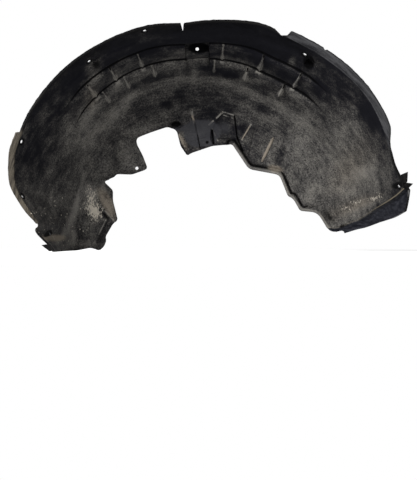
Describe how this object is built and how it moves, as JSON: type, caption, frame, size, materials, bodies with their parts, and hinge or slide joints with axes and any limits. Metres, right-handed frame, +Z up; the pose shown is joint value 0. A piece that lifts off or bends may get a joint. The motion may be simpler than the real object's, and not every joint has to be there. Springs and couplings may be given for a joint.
{
  "type": "wheel arch liner",
  "caption": "Moulded plastic wheel arch liner with a stepped and ribbed crown, rim flanges, screw holes and a cut-out inner wall.",
  "frame": {"origin": "centre of the crown screw hole on the wheel side of its pad", "axes": "+X along the car, towards the clean end panel; +Y from the rim into the wheelhouse, parallel to the axle; +Z up"},
  "size_m": [0.7781, 0.2505, 0.4475],
  "materials": {
    "liner_plastic": "matt, dusty"
  },
  "bodies": {
    "root": {"liner": "liner_plastic"}
  },
  "joints": []
}
